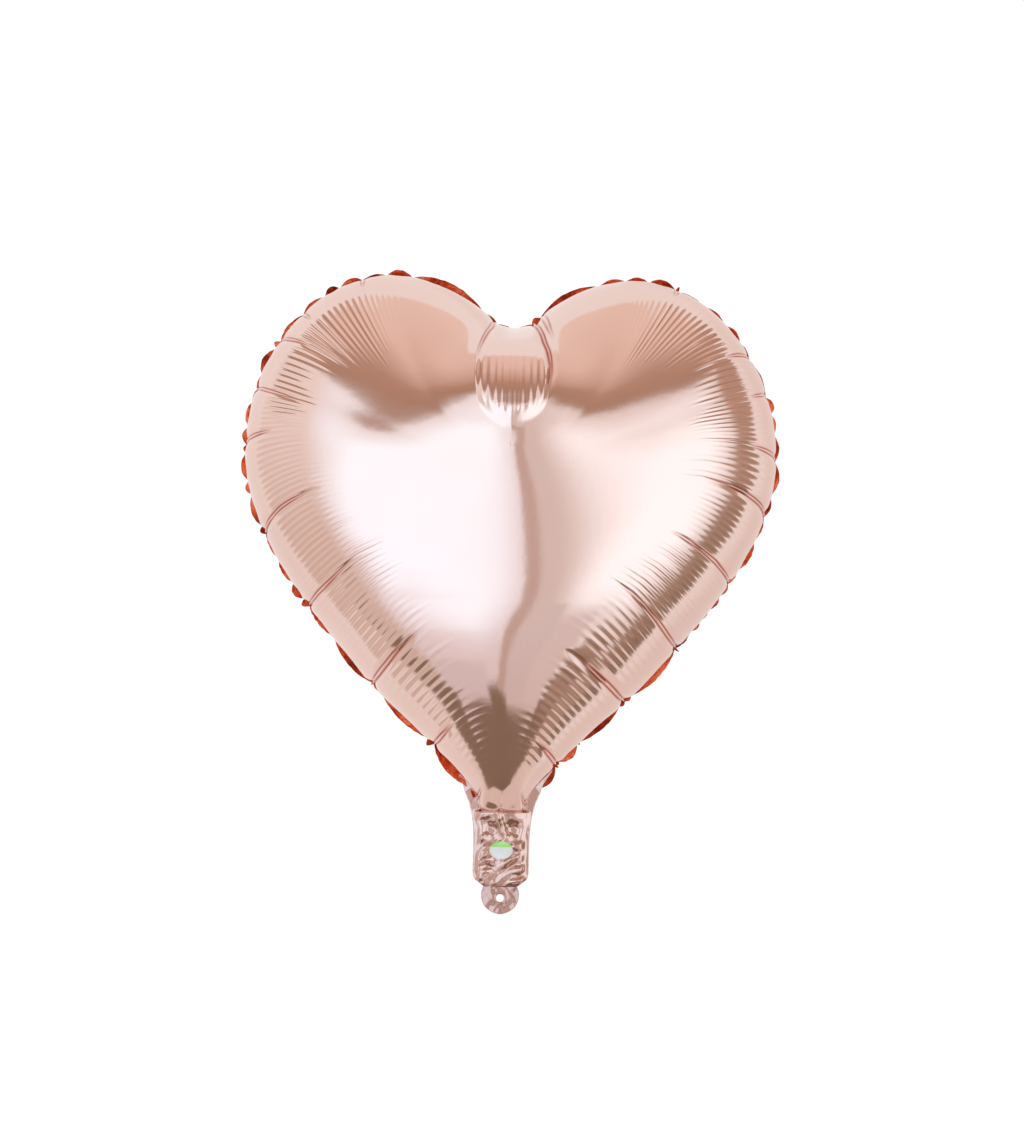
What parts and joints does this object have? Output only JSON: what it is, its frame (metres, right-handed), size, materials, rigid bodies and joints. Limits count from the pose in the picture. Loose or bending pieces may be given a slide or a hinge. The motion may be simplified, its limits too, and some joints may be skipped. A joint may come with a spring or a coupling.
{
  "type": "heart foil balloon",
  "caption": "Inflated heart-shaped foil balloon: two domed film panels welded round the rim, with a folding filling tail, flat valve and hanging tab.",
  "frame": {"origin": "centre of the hanging hole in the tab, in the weld plane", "axes": "+Z from the hanging hole up to the lobes, -Y out of the front panel, +X to the right seen from the front"},
  "size_m": [0.364, 0.19, 0.4313],
  "materials": {
    "foil": "rose-gold metallised film, glossy",
    "foil_edge": "welded double film",
    "valve_film": "soft clear film",
    "label_paper": "coated paper, satin"
  },
  "bodies": {
    "envelope": {"front_panel": "foil", "back_panel": "foil"},
    "valve_front": {"valve_front_film": "valve_film"},
    "valve_back": {"valve_back_film": "valve_film"},
    "tail": {"tail_front_ply": "foil", "tail_back_ply": "foil", "label_sticker": "label_paper"},
    "tab": {"hang_tab": "foil_edge"}
  },
  "joints": [
    {"name": "tail_fold", "type": "hinge", "parent": "envelope", "child": "tail", "pos_m": [0, 0, 0.0578], "axis": [1, 0, 0], "range_deg": [-90, 90]},
    {"name": "tab_fold", "type": "hinge", "parent": "tail", "child": "tab", "pos_m": [0, 0, 0.0074], "axis": [1, 0, 0], "range_deg": [-90, 90]},
    {"name": "valve_part", "type": "hinge", "parent": "envelope", "child": "valve_front", "pos_m": [0, -0.00028, 0.069], "axis": [1, 0, 0], "range_deg": [0, 12], "stiffness_Nm_per_rad": 0.001},
    {"name": "valve_part_back", "type": "hinge", "parent": "envelope", "child": "valve_back", "pos_m": [0, 0.00028, 0.069], "axis": [1, 0, 0], "range_deg": [-12, 0], "stiffness_Nm_per_rad": 0.001}
  ],
  "couplings": [
    {"joint": "valve_part_back", "follows": "valve_part", "ratio": -1}
  ]
}
